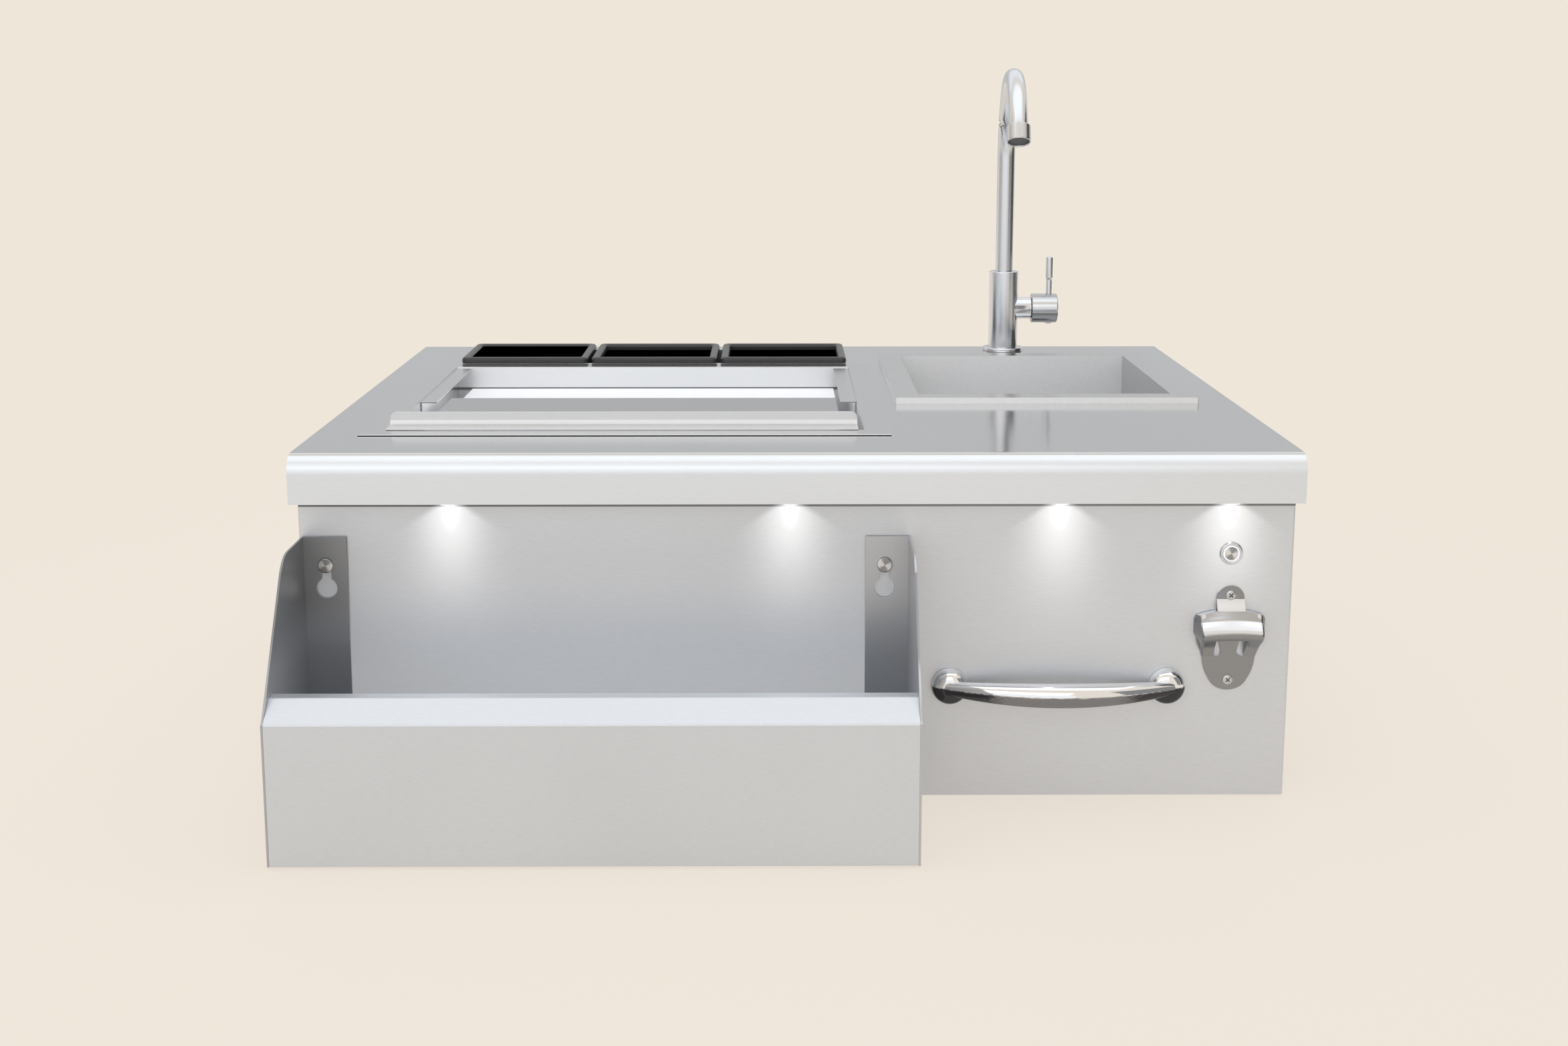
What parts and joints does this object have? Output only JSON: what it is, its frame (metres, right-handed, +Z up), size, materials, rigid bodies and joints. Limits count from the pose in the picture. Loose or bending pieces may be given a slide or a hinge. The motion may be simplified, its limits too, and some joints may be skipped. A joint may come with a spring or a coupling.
{
  "type": "bar sink with ice bin",
  "caption": "Drop-in steel beverage centre: bar sink with gooseneck tap, ice bin with sliding lid, condiment pans, bottle rail, towel bar, opener and lights.",
  "frame": {"origin": "on the body's underside, under the middle of the deck's width and depth", "axes": "+X to the user's right along the front, -Y towards the user, +Z up"},
  "size_m": [0.762, 0.738, 0.5578],
  "materials": {
    "deck_steel": "satin, grain across the width",
    "panel_steel": "satin, grain across the width",
    "side_steel": "mill finish",
    "brace_steel": "plain",
    "light_metal": "satin",
    "light_lens": "milky, lit",
    "black_plastic": "fine grain",
    "cable": "matte",
    "switch_steel": "polished",
    "lit_ring": "lit",
    "button_steel": "spun",
    "opener_steel": "satin",
    "screw_steel": "turned",
    "polished_chrome": "polished",
    "rail_steel": "satin, grain along the rail",
    "rail_end_steel": "satin",
    "frame_steel": "satin",
    "liner_plastic": "smooth white",
    "foam": "rigid foam",
    "jacket_steel": "galvanised",
    "guide_steel": "satin",
    "lid_steel": "satin",
    "drain_plastic": "moulded",
    "rubber": "matte",
    "tray_steel": "plain",
    "pan_plastic": "satin black",
    "sink_steel": "satin",
    "cup_steel": "polished",
    "tap_steel": "brushed nickel look",
    "aerator_plastic": "fine mesh look",
    "cartridge_plastic": "moulded"
  },
  "bodies": {
    "cabinet": {"deck": "deck_steel", "front_panel": "panel_steel", "left_side_panel": "side_steel", "right_side_panel": "side_steel", "back_panel": "side_steel", "bottom_panel": "side_steel", "deck_braces": "brace_steel", "light_housings": "light_metal", "light_lenses": "light_lens", "light_driver": "black_plastic", "light_wiring": "cable", "power_inlet": "black_plastic", "switch_housing": "switch_steel", "switch_ring": "lit_ring", "switch_nut": "brace_steel", "bottle_opener": "opener_steel", "opener_screws": "screw_steel", "towel_bar": "polished_chrome", "towel_roses": "polished_chrome", "towel_bolts": "brace_steel", "rail_studs": "screw_steel", "stud_nuts": "brace_steel", "ice_frame": "frame_steel", "ice_liner": "liner_plastic", "ice_insulation": "foam", "ice_jacket": "jacket_steel", "lid_guides": "guide_steel", "ice_drain": "drain_plastic", "ice_drain_nut": "drain_plastic", "pan_tray": "tray_steel", "sink_bowl": "sink_steel", "sink_seal": "rubber", "sink_clips": "brace_steel", "drain_cup": "cup_steel", "drain_gasket": "rubber", "drain_nut": "drain_plastic", "drain_tail": "drain_plastic", "tap_flange": "tap_steel", "tap_body": "tap_steel", "tap_cartridge": "cartridge_plastic", "tap_gasket": "rubber", "tap_nut": "brace_steel"},
    "bottle_rail": {"rail_trough": "rail_steel", "rail_left_end": "rail_end_steel", "rail_right_end": "rail_end_steel"},
    "lid": {"ice_lid": "lid_steel"},
    "plug": {"ice_drain_plug": "rubber"},
    "pan_1": {"left_pan": "pan_plastic"},
    "pan_2": {"middle_pan": "pan_plastic"},
    "pan_3": {"right_pan": "pan_plastic"},
    "basket": {"strainer_basket": "cup_steel"},
    "spout": {"tap_spout": "tap_steel", "outlet_collar": "tap_steel", "aerator": "aerator_plastic"},
    "lever": {"tap_hub": "tap_steel", "tap_lever": "tap_steel", "tap_cap_screw": "screw_steel"},
    "push_button": {"switch_button": "button_steel"}
  },
  "joints": [
    {"name": "rail_lift", "type": "slide", "parent": "cabinet", "child": "bottle_rail", "axis": [0, 0, 1], "range_m": [0, 0.018]},
    {"name": "lid_slide", "type": "slide", "parent": "cabinet", "child": "lid", "axis": [0, 1, 0], "range_m": [0, 0.177]},
    {"name": "plug_lift", "type": "slide", "parent": "cabinet", "child": "plug", "axis": [0, 0, 1], "range_m": [0, 0.05]},
    {"name": "left_pan_lift", "type": "slide", "parent": "cabinet", "child": "pan_1", "axis": [0, 0, 1], "range_m": [0, 0.12]},
    {"name": "middle_pan_lift", "type": "slide", "parent": "cabinet", "child": "pan_2", "axis": [0, 0, 1], "range_m": [0, 0.12]},
    {"name": "right_pan_lift", "type": "slide", "parent": "cabinet", "child": "pan_3", "axis": [0, 0, 1], "range_m": [0, 0.12]},
    {"name": "basket_lift", "type": "slide", "parent": "cabinet", "child": "basket", "axis": [0, 0, 1], "range_m": [0, 0.1]},
    {"name": "spout_swivel", "type": "hinge", "parent": "cabinet", "child": "spout", "pos_m": [0.2189, 0.2774, 0.34], "axis": [0, 0, 1], "range_deg": [-120, 120]},
    {"name": "lever_turn", "type": "hinge", "parent": "cabinet", "child": "lever", "pos_m": [0.26, 0.2774, 0.3155], "axis": [1, 0, 0], "range_deg": [0, 90]},
    {"name": "button_press", "type": "slide", "parent": "cabinet", "child": "push_button", "axis": [0, 1, 0], "range_m": [0, 0.0015], "stiffness_N_per_m": 400}
  ]
}
